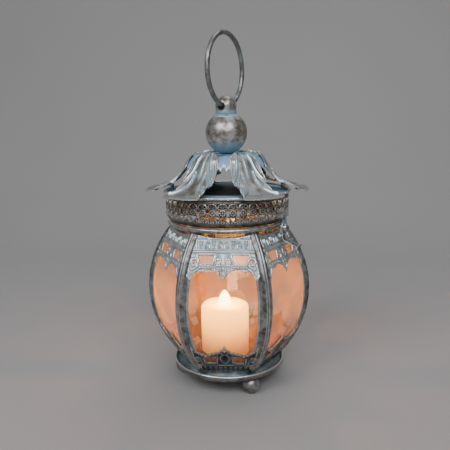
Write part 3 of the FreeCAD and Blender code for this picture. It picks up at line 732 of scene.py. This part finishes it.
flame_light, tree, spot = new_finish("candle flame, burning soot")
flame_z = node(tree, "SeparateXYZ", (), {0: spot}).outputs["Z"]
rising = node(tree, "MapRange", {"From Min": FLAME_LOW * MM, "From Max": FLAME_TOP * MM}, {"Value": flame_z})
flame_ramp = node(tree, "ValToRGB", (), {"Fac": rising})
flame_ramp.color_ramp.elements[0].color = linear("#FF9A3C")
flame_ramp.color_ramp.elements[1].color = linear("#FFC36B")
flame_ramp.color_ramp.elements.new(0.35).color = linear("#FFEBC0")
flame_glow = node(tree, "Emission", {"Strength": 70.0}, {"Color": flame_ramp})
node(tree, "OutputMaterial", (), {"Surface": flame_glow})
flame_rise = np.linspace(0, 1, 26)
flame_wide = FLAME_R * np.sqrt(np.sin(math.pi * flame_rise ** 0.62).clip(0, 1)) * (1 - 0.35 * flame_rise)
flame_high = FLAME_LOW + flame_rise * (FLAME_TOP - FLAME_LOW)
flame_outline = [(0, FLAME_LOW)] + list(zip(flame_wide, flame_high))[1:-1] + [(0, FLAME_TOP)]
flame = seat("flame", make_mesh("flame", *spin(flame_outline, 40, (CANDLE_X, CANDLE_Y))), "candle",
             flame_light)
flame_lamp = bpy.data.lights.new("flame_lamp", "POINT")
flame_lamp.energy = 0.38
flame_lamp.color = linear("#FF9640")[:3]
flame_lamp.shadow_soft_size = 3.5 * MM
lamp = put("flame_lamp", flame_lamp)
lamp.location = Vector((CANDLE_X, CANDLE_Y, LAMP_Z)) * MM
lamp.parent = flame
# the lamp stands for the light of the flame, which has its own shape
lamp.visible_camera = False
lamp.visible_transmission = False
lamp.visible_glossy = False
flame.visible_shadow = False

# ---- Gallery band ----
# The lid's side is a band stamped and pierced with forty rosettes, slots between them and a lattice
# below, rolled into a hoop. Its coned lower edge drops on to the neck ring. Smoke has darkened it, and
# its crests are rubbed bright.

BAND_R = 51.8
BAND_TIN = 0.45
BAND_LOW = 144.25
BAND_SHOULDER = 147.3
BAND_TOP = 166.4
REPEATS = 40
REPEAT = 2 * math.pi * BAND_R / REPEATS
ROSETTE_Z = 156.6


def on_band(u, z, lift):
    """u runs round the hoop from the front."""
    inner = np.interp(z, [BAND_LOW, BAND_SHOULDER, BAND_TOP], [BAND_R - 4.0, BAND_R - 0.8, BAND_R - 0.8])
    return np.stack([(inner + lift) * np.sin(u / BAND_R), -(inner + lift) * np.cos(u / BAND_R), z], -1)


def from_rosette(u):
    """Distance along the band from the middle of the nearest rosette."""
    return np.abs((u + REPEAT / 2) % REPEAT - REPEAT / 2)


def band_metal(u, z):
    s = from_rosette(u)
    gap = REPEAT / 2 - s
    slot = 6.3 - np.hypot(gap + 5.1, z - 156.5)
    edges = np.minimum(z - BAND_LOW - 0.05, BAND_TOP - z)
    below = inside(s, z, [(-2.9, 153.6), (2.9, 153.6), (0, 149.9)])
    dots = 1.0 - np.hypot(gap, z - 151.0)
    above = inside(s, z, [(0.5, 159.9), (3.5, 159.9), (2.0, 163.6)])
    crumbs = 0.75 - np.hypot(gap, z - 162.4)
    return np.minimum(edges, -np.maximum.reduce([slot, below, dots, above, crumbs]))


def band_relief(u, z):
    s = from_rosette(u)
    gap = REPEAT / 2 - s
    out = np.hypot(s, z - ROSETTE_Z)
    petals = np.abs(np.cos(4 * np.arctan2(z - ROSETTE_Z, s))) ** 0.6
    return np.maximum.reduce([
        bead(out, 0.95, 0.8),
        bead(out - 1.95, 0.85, 0.85) * petals,
        bead(np.hypot(s, z - 160.0) - 3.6, 0.42, 0.7) * (z > 160),
        bead(np.hypot(gap, z - 151.3) - 1.45, 0.45, 0.7),
        bead(to_line(s, z, 0, 149.6, 3.1, 154.0), 0.45, 0.7),
        bead(to_line(s, z, 1.2, 149.2, REPEAT / 2, 153.2), 0.4, 0.6),
        bead(np.hypot((u % (REPEAT / 4)) - REPEAT / 8, z - 149.0), 0.75, 0.8),
        bead(z - 164.4, 0.5, 0.4),
        bead(z - 147.9, 0.45, 0.25)])


band_finish = aged_tin("stamped tinplate hoop, smoked and rubbed", tin="#767167", smoke="#2E2922",
                       wash="#2B2721", washed=0.15, shine=1.0, rough=0.32, patch_mm=7.0)
band_mesh = pierced("gallery_band", band_metal, band_relief,
                    np.linspace(0, 2 * math.pi * BAND_R, REPEATS * 22, endpoint=False),
                    np.arange(143.7, 167.2, 0.37), on_band, BAND_TIN, around=True, reach_mm=0.8, soot=0.4)
seat("band", band_mesh, "lid", band_finish, "gallery_band")

# ---- Rim bead and roof plate ----
# A wire ring stiffens the top edge of the band, and a low tinplate cone closes it over the flame. The
# cone's underside is black with smoke; its top is dark, partly with smoke and partly as painted shade
# under the crown. Blue paint has gathered in the gutter behind the wire.

RIM_R = 52.8
RIM_WIRE_R = 1.05
RIM_Z = 167.7
ROOF_LOW = 166.5
ROOF_RISE = 4.1
ROD_HOLE_R = 2.2

rim_points, rim_faces = spin(arc(RIM_R, RIM_Z, RIM_WIRE_R, 0, 345, 20), 220)
# the whole wire is brightened and its top most: partly wear, partly a painted highlight
rim_wear_and_sheen = np.clip((rim_points[:, 2] - RIM_Z) / RIM_WIRE_R, 0, 1)
seat("rim_wire", make_mesh("rim", rim_points, rim_faces, 0.5 + 0.5 * rim_wear_and_sheen), "lid",
     neck_finish, "rim_bead")

# the cone's dark colour is partly smoke and partly painted shade from the crown over it
roof_smoke_and_shade_finish = aged_tin("tinplate roof, black with smoke and painted shade", tin="#5A5754", smoke="#2B2724", washed=0.12,
                       shine=0.3, rough=0.42, patch_mm=12.0)
ROOF_RINGS = np.array([0, 8, 16, 24, 32, 36, 37.5, 39.5, 42, 45, 46.5, 48, 49.5, 50.6, 51.6])
roof_z = np.interp(ROOF_RINGS, [0, 51.7], [ROOF_LOW + ROOF_RISE, ROOF_LOW])
roof_outline = list(zip(ROOF_RINGS, roof_z + 0.8)) + list(zip(ROOF_RINGS, roof_z))[::-1]
roof_points, roof_faces = spin(roof_outline, 180)
roof_out = np.hypot(roof_points[:, 0], roof_points[:, 1])
roof_under = roof_points[:, 2] < np.interp(roof_out, ROOF_RINGS, roof_z) + 0.4
roof_mesh = make_mesh("roof", roof_points, roof_faces, None, 1.35 * np.clip((roof_out - 37.5) / 2.0, 0, 1),
                      0.9 * roof_under)
seat("roof", roof_mesh, "lid", roof_smoke_and_shade_finish, "roof_plate")

# ---- Crown ----
# The crown is pressed from one sheet: a cap scalloped between six leaf stems, which fork into lobes with
# rolled outlines and open into broad tongues over the rim. Blue paint stays in its veins.

CROWN_TIN = 1.0
LEAF_THICK = 1.2
CAP_TOP = 198.0
CROWN_SPANS = [[(24, 199.3), (28.6, 197.5), (32, 194)], [(32, 194), (39.5, 182.2), (50, 173.7)],
               [(50, 173.7), (58, 170.9), (69.6, 168.95)]]
CROWN_FITS = [np.polyfit(*zip(*span), 2) for span in CROWN_SPANS]


def crown_height(out):
    """The crown's outside, by distance from the axis."""
    return np.select([out < 24, out < 32, out < 50], [199.3 + 0 * out, np.polyval(CROWN_FITS[0], out),
                     np.polyval(CROWN_FITS[1], out)], np.polyval(CROWN_FITS[2], out))


def on_leaf(w, r, lift):
    return np.stack([w, -r, crown_height(np.hypot(w, r)) - LEAF_THICK + lift], -1)


LEAF = [(0, 22.6), (5.2, 23.0), (7.4, 26.0), (10.8, 29.4), (13.6, 32.6), (14.3, 36.5), (14.8, 40.6),
        (12.5, 42.8), (12.9, 46.5), (13.9, 52.0), (15.4, 58.5), (15.0, 60.6), (16.8, 62.6), (17.2, 64.8),
        (14, 67.2), (7, 69.0), (0, 69.5)]
LOWER_LOBE = [(5.4, 37.0), (8.2, 43.5), (10.4, 49.5), (12.6, 54.5), (14.9, 58.6)]
UPPER_LOBE = [(4.6, 26.0), (8.4, 30.4), (11.0, 34.6), (12.8, 37.6), (14.3, 40.4)]
VEIN = [(1.0, 24.0), (1.4, 32.0), (2.4, 38.0), (4.4, 44.0), (7.2, 50.5), (10.2, 56.0), (13.4, 60.4),
        (16.8, 63.4)]


def lobe(s, r, line, widest, high):
    """A pointed, swollen lobe along its middle line, with a rolled outline and a sunk eye."""
    start, end = line[0], line[-1]
    run = (s - start[0]) * (end[0] - start[0]) + (r - start[1]) * (end[1] - start[1])
    run = np.clip(run / ((end[0] - start[0]) ** 2 + (end[1] - start[1]) ** 2), 0, 1)
    half = widest * np.sqrt(np.clip(np.sin(math.pi * run ** 1.15), 0.02, 1)) + 0.25
    off = to_path(s, r, line)
    swell = 0.55 * high * np.sqrt(np.clip(1 - (off / half) ** 2, 0, 1))
    rolled = bead(off - half + 0.55, 0.75, 0.85 * high)
    eye = bead(off, 0.3 * half, 0.45 * high) * (run > 0.4) * (run < 0.75)
    return np.maximum(swell - eye, rolled)


def leaf_relief(w, r):
    s = np.abs(w)
    up = np.maximum(lobe(s, r, LOWER_LOBE, 3.5, 2.4), lobe(s, r, UPPER_LOBE, 3.0, 2.4))
    ridge = bead(s, 0.95, 0.9) * np.clip((46 - r) / 6, 0, 1)
    vein = np.interp(r, [z for x, z in VEIN], [x for x, z in VEIN])
    tongue = 0.85 * np.sqrt(np.clip(1 - (s / np.maximum(vein - 0.6, 0.3)) ** 2, 0, 1))
    tongue = tongue * np.clip((r - 38) / 6, 0, 1)
    flare = 0.8 * np.clip((r - 59) / 3, 0, 1)
    return np.maximum.reduce([up, ridge, tongue, flare]) + 0.1 * np.cos(w * 1.3) * (r > 56)


def leaf_metal(w, r):
    return inside(w, r, mirrored(LEAF))


def on_cap(x, y, lift):
    top = np.minimum(crown_height(np.hypot(x, y)) - LEAF_THICK - 0.05, CAP_TOP)
    return np.stack([x, y, top - CROWN_TIN + lift], -1)


def cap_metal(x, y):
    out = np.hypot(x, y)
    swing = (np.arctan2(x, -y) + math.radians(TURN / 2)) % math.radians(TURN) - math.radians(TURN / 2)
    across, along = out * np.sin(np.abs(swing)), out * np.cos(swing)
    # between two stems the edge makes an M with its point upwards
    hem = 34.9 - 1.7 * bead(across, 1.5, 1.0) - 1.2 * bead(across - 5.4, 2.4, 1.0)
    stem = along * math.sin(math.radians(TURN / 2)) - across * math.cos(math.radians(TURN / 2))
    under_leaf = np.minimum(8.2 - np.abs(stem), 49.0 - out)
    return np.minimum(np.maximum(hem - along, under_leaf), out - ROD_HOLE_R)


def cap_relief(x, y):
    return bead(cap_metal(x, y) - 0.7, 0.7, 0.5) * (np.hypot(x, y) > 28)


crown_finish = aged_tin("pressed tinplate, washed blue and rubbed", tin="#A9A8A3", smoke="#7B7569",
                        wash="#8FB4C4", washed=0.3, shine=0.95, rough=0.33, patch_mm=9.0)
cap_finish = aged_tin("pressed tinplate, painted blue and little rubbed", tin="#96A3AA", smoke="#6F7A80",
                      wash="#8DBAD0", washed=1.0, shine=0.7, rough=0.42, patch_mm=9.0)
cap_grid = np.arange(-50.2, 50.3, 0.62)
cap_mesh = pierced("crown_cap", cap_metal, cap_relief, cap_grid, cap_grid, on_cap, CROWN_TIN, stamped=True,
                   soot=0.0)
seat("crown_web", cap_mesh, "lid", cap_finish, "crown_cap")
leaf_mesh = pierced("crown_leaf", leaf_metal, leaf_relief, np.arange(-19, 19.1, 0.4),
                    np.arange(21.8, 70.6, 0.4), on_leaf, CROWN_TIN, stamped=True, reach_mm=1.3, soot=0.0)
seat_six("leaf", leaf_mesh, "lid", crown_finish, "crown_leaf", TURN / 2)
# the crown's posts take the dark roof finish as painted shade, since they stand in shade under the crown
refinish(roof_smoke_and_shade_finish, "crown_posts")

# ---- Balls and collar ----
# Two spun zinc balls, with a coned washer between them, are threaded on the tie rod. They were washed
# blue underneath and rubbed almost bare on top, so brown clouds show through.

BALL_R = 17.4
BALL_Z = 215.5
EYELET_R = 8.8
EYELET_Z = 237.3
EYELET_HOLE_R = 3.5
EYELET_FLOOR = 230.85
RING_TURN = -115.0

ball_finish = aged_tin("spun zinc, clouded and rubbed bright", tin="#C4C2BC", smoke="#7D7362", washed=0.12,
                       shine=0.9, rough=0.33, patch_mm=6.5)
ball_outline = arc(0, BALL_Z, BALL_R, -82.5, 82.5, 60) + arc(0, BALL_Z, BALL_R - 1.0, 82, -82, 40)
ball_points, ball_faces = spin(ball_outline, 128)
# hand-spun metal is never quite round
x, y, z = ball_points.T
bumps = 0.006 * np.sin(x * 0.5 + 1) * np.sin(z * 0.6) * np.cos(y * 0.45)
from_middle = z - BALL_Z
ball_points[:, :2] *= 1 + bumps[:, None]
ball_low = np.clip((-from_middle - 5.5) / 5.0, 0, 1) + np.clip((from_middle - 12.5) / 1.8, 0, 1)
seat("finial_ball", make_mesh("ball", ball_points, ball_faces, None, ball_low), "lid",
     ball_finish, "big_ball")

collar_finish = aged_tin("coned zinc washer, painted blue", tin="#93A3AC", smoke="#66737B", wash="#8FBED3",
                         washed=1.0, shine=0.5, rough=0.4, patch_mm=6.0)
collar_outline = [(2.4, 230.7), (9.0, 230.75), (9.3, 230.55), (10.2, 229.8), (11.3, 229.1), (11.4, 228.75),
                  (10.9, 229.1), (9.6, 230.05), (7.5, 230.3), (2.4, 230.35)]
seat("collar", make_mesh("collar", *spin(collar_outline, 96)), "lid", collar_finish,
     "neck_collar")

eyelet_outline = ([(0, EYELET_FLOOR + 0.02), (EYELET_R - 0.6, EYELET_FLOOR + 0.02)]
                  + arc(EYELET_R - 0.4, EYELET_FLOOR + 0.42, 0.4, -80, 0, 5) + [(EYELET_R - 0.15, 233.0)]
                  + arc(0, EYELET_Z, EYELET_R, -12, 84, 26) + [(0, EYELET_Z + EYELET_R)])
# a rod as wide as the hole is laid across the ball, along the ring's own axis, and cut out of it
bore_points, bore_faces = spin([(0, -14), (EYELET_HOLE_R, -14), (EYELET_HOLE_R, 14), (0, 14)], 40)
lying = turned(bore_points[:, [2, 0, 1]], RING_TURN) + [0, 0, EYELET_Z]
bore = put("bore", make_mesh("bore", lying, bore_faces))
blank = put("blank", make_mesh("eyelet", *spin(eyelet_outline, 96)))
drill = blank.modifiers.new("drill", "BOOLEAN")
drill.operation = "DIFFERENCE"
drill.object = bore
drill.solver = "EXACT"
bpy.context.view_layer.update()
drilled = bpy.data.meshes.new_from_object(blank.evaluated_get(bpy.context.evaluated_depsgraph_get()))
for made in (bore, blank):
    bpy.data.objects.remove(made)
drilled.set_sharp_from_angle(angle=math.radians(48))
skirt = drilled.attributes.new("hollow", "FLOAT", "POINT")
skirt.data.foreach_set("value", [1.0 if v.co.z < 233.0 * MM else 0.0 for v in drilled.vertices])
seat("eyelet", drilled, "lid", ball_finish, "eyelet_ball")

# ---- Hinge and latch ----
# Small stampings of 0.8 mm tin: the hinge's two leaves and pin at the back, and at the right a strap
# whose hollow dome snaps over a stud. They were blackened, and the dome is polished by the thumb.

latch_finish = aged_tin("stamped tinplate latch, polished by the thumb", tin="#7C8286", smoke="#3B3B3A",
                        wash="#7FB0C8", washed=0.45, shine=0.95, rough=0.26, patch_mm=4.0)
refinish(latch_finish, "latch_stud", "upper_hinge_leaf", "lower_hinge_leaf")
refinish(band_finish, "hasp_bracket")

HASP_BACK = 54.4
HASP_THICK = 0.8
PIN_RUN = 1.2
SNAP_DROP = 10.5
DOME_R = 3.8
EYE_R = 5.4
# the strap's line as (distance from the axis, height): down, out along the finger tab, and up at its end
HASP_LINE = [(HASP_BACK, 152.2), (HASP_BACK, 132.2), (HASP_BACK + 0.5, 130.9), (HASP_BACK + 1.8, 130.0),
             (61.0, 128.6), (67.2, 126.6), (68.4, 126.4), (69.2, 127.0), (69.7, 128.6)]
HASP_OUT, HASP_HIGH = np.array(HASP_LINE).T
HASP_RUN = np.append(0, np.cumsum([math.dist(a, b) for a, b in zip(HASP_LINE, HASP_LINE[1:])]))
TAB_START = HASP_RUN[2]


def on_hasp(u, v, lift):
    """v runs down the strap and out along its tab; the lift is square to it."""
    ahead = np.interp(v + 0.3, HASP_RUN, HASP_OUT) - np.interp(v - 0.3, HASP_RUN, HASP_OUT)
    down = np.interp(v - 0.3, HASP_RUN, HASP_HIGH) - np.interp(v + 0.3, HASP_RUN, HASP_HIGH)
    size = np.hypot(ahead, down) + 1e-9
    out = np.interp(v, HASP_RUN, HASP_OUT) + lift * down / size
    return np.stack([u, -out, np.interp(v, HASP_RUN, HASP_HIGH) + lift * ahead / size], -1)


def hasp_metal(u, v):
    half = np.interp(v, [0, 2.6, 4.5, TAB_START, HASP_RUN[-1]], [3.9, 3.9, 2.0, 2.0, 3.0])
    strap = np.minimum(half - np.abs(u), np.minimum(v - 0.05, HASP_RUN[-1] - 0.4 - v))
    eye = EYE_R - np.hypot(u, v - PIN_RUN - SNAP_DROP)
    return np.maximum(strap, eye)


def hasp_relief(u, v):
    out = np.hypot(u, v - PIN_RUN - SNAP_DROP)
    dome = np.sqrt(np.clip(DOME_R ** 2 - out ** 2, 0, None))
    knuckle = bead(v - PIN_RUN, 1.25, 0.75)
    return np.maximum.reduce([dome, bead(out - EYE_R + 0.6, 0.6, 0.7), knuckle, bead(u, 1.2, 0.15) * (v > 3)])


hasp_mesh = pierced("hasp", hasp_metal, hasp_relief, np.arange(-6, 6.1, 0.3),
                    np.arange(-0.3, HASP_RUN[-1] + 0.4, 0.3), on_hasp, HASP_THICK, stamped=True, reach_mm=1.0,
                    soot=0.0)
seat("hasp_strap", hasp_mesh, "hasp", latch_finish, "hasp", 60)

# ---- Hanging ring ----
# Four millimetre wire bent into a loop through the top ball, its ends butted beside it. It was plated,
# then blackened, and worn bright where it rubs in the hole and on a hook.

RING_R = 29.0
RING_WIRE_R = 2.0
RING_GAP_TURN = 38.0

ring_finish = aged_tin("bent steel wire, blackened and worn", tin="#8C8A86", smoke="#585249", wash="#8AB3C4",
                       washed=0.42, shine=0.7, rough=0.32, patch_mm=6.0)
half_gap = math.degrees(0.3 / RING_R)
ring_turns = np.radians(np.linspace(-90 - RING_GAP_TURN + half_gap, 270 - RING_GAP_TURN - half_gap, 200))
# both ends are filed round
ring_turns = np.concatenate([ring_turns[:1], ring_turns[:1] + 0.006, ring_turns[:1] + 0.016, ring_turns[1:-1],
                             ring_turns[-1:] - 0.016, ring_turns[-1:] - 0.006, ring_turns[-1:]])
ring_thick = np.full(len(ring_turns), RING_WIRE_R)
ring_thick[[0, 1, -2, -1]] = [1.3, 1.8, 1.8, 1.3]
section = np.radians(np.linspace(0, 360, 20, endpoint=False))
ring_out = RING_R + ring_thick[:, None] * np.cos(section)
ring_points = np.stack([ring_out * np.cos(ring_turns)[:, None], ring_thick[:, None] * np.sin(section),
                        EYELET_Z + RING_R + ring_out * np.sin(ring_turns)[:, None]], -1).reshape(-1, 3)
ring_points = turned(ring_points, RING_TURN)
ring_faces = [(20 * i + k, 20 * i + (k + 1) % 20, 20 * i + 20 + (k + 1) % 20, 20 * i + 20 + k)
              for i in range(len(ring_turns) - 1) for k in range(20)]
ring_faces += [tuple(range(20)), tuple(range(20 * (len(ring_turns) - 1), 20 * len(ring_turns)))]
seat("wire_ring", make_mesh("ring", ring_points, ring_faces), "hanging_ring", ring_finish,
     "hanging_ring")

# ---- Floor, lights and camera ----
# The lantern stands on a pale sheet of board that curves up behind it. Soft boxes hang above its left,
# its right and straight in front, and a weaker one above its back.

board, tree, spot = new_finish("pale matt board")
board_cloud = node(tree, "TexNoise", {"Scale": 3.0, "Detail": 2.0}, {"Vector": spot})
board_colour = node(tree, "Mix", {"data_type": "RGBA", 6: linear("#A9A7A4"), 7: linear("#A09D99")},
                    {0: board_cloud}).outputs[2]
board_skin = node(tree, "BsdfPrincipled", {"Roughness": 0.85}, {"Base Color": board_colour})
node(tree, "OutputMaterial", (), {"Surface": board_skin})

BEND = 500.0
BACK = 900.0
sweep = [(-2500.0, 0.0), (-500.0, 0.0), (BACK - BEND, 0.0)]
bend = np.radians(np.arange(6, 91, 6))
sweep += [(BACK - BEND + BEND * math.sin(a), BEND - BEND * math.cos(a)) for a in bend]
sweep += [(BACK, 3000.0)]
floor_points = [(x, y, z) for y, z in sweep for x in (-3000.0, 3000.0)]
floor_faces = [(2 * i, 2 * i + 1, 2 * i + 3, 2 * i + 2) for i in range(len(sweep) - 1)]
floor_mesh = bpy.data.meshes.new("board")
floor_mesh.from_pydata((np.array(floor_points) * MM).tolist(), [], floor_faces)
floor_mesh.shade_smooth()
floor_mesh.materials.append(board)
floor = put("board", floor_mesh)

MIDDLE = Vector((0, 0, 0.14))
for name, spot, size, power in (("left_box", (-0.75, -0.95, 1.15), 0.7, 9.0),
                                ("right_box", (0.55, -1.0, 1.15), 0.6, 5.5),
                                ("front_box", (0.05, -1.35, 1.0), 0.8, 9.0),
                                ("back_box", (0.2, 0.35, 1.5), 0.9, 5.0)):
    box = bpy.data.lights.new(name, "AREA")
    box.size = size
    box.energy = power
    box.color = linear("#F4F7FF")[:3]
    hung = put(name, box)
    hung.location = spot
    hung.rotation_euler = (MIDDLE - Vector(spot)).to_track_quat("-Z", "Y").to_euler()

world = bpy.data.worlds.new("studio")
world.use_nodes = True
sky = world.node_tree.nodes["Background"].inputs
sky["Color"].default_value = linear("#BFC3C6")
sky["Strength"].default_value = 0.3
bpy.context.scene.world = world

# the camera looks a little down and to the left, and is held very slightly askew
PITCH = 0.2043
SIDEWAYS, AHEAD = -0.0767, 0.99705
ROLL = -0.01428
lens = bpy.data.cameras.new("camera")
lens.lens = 44.0
lens.sensor_width = 36.0
camera = put("camera", lens)
camera.location = (0.0334, -0.4631, 0.2332)
aim = Vector((SIDEWAYS * math.cos(PITCH), AHEAD * math.cos(PITCH), -math.sin(PITCH)))
camera.rotation_mode = "QUATERNION"
camera.rotation_quaternion = aim.to_track_quat("-Z", "Y") @ Quaternion((0, 0, 1), ROLL)
bpy.context.scene.camera = camera
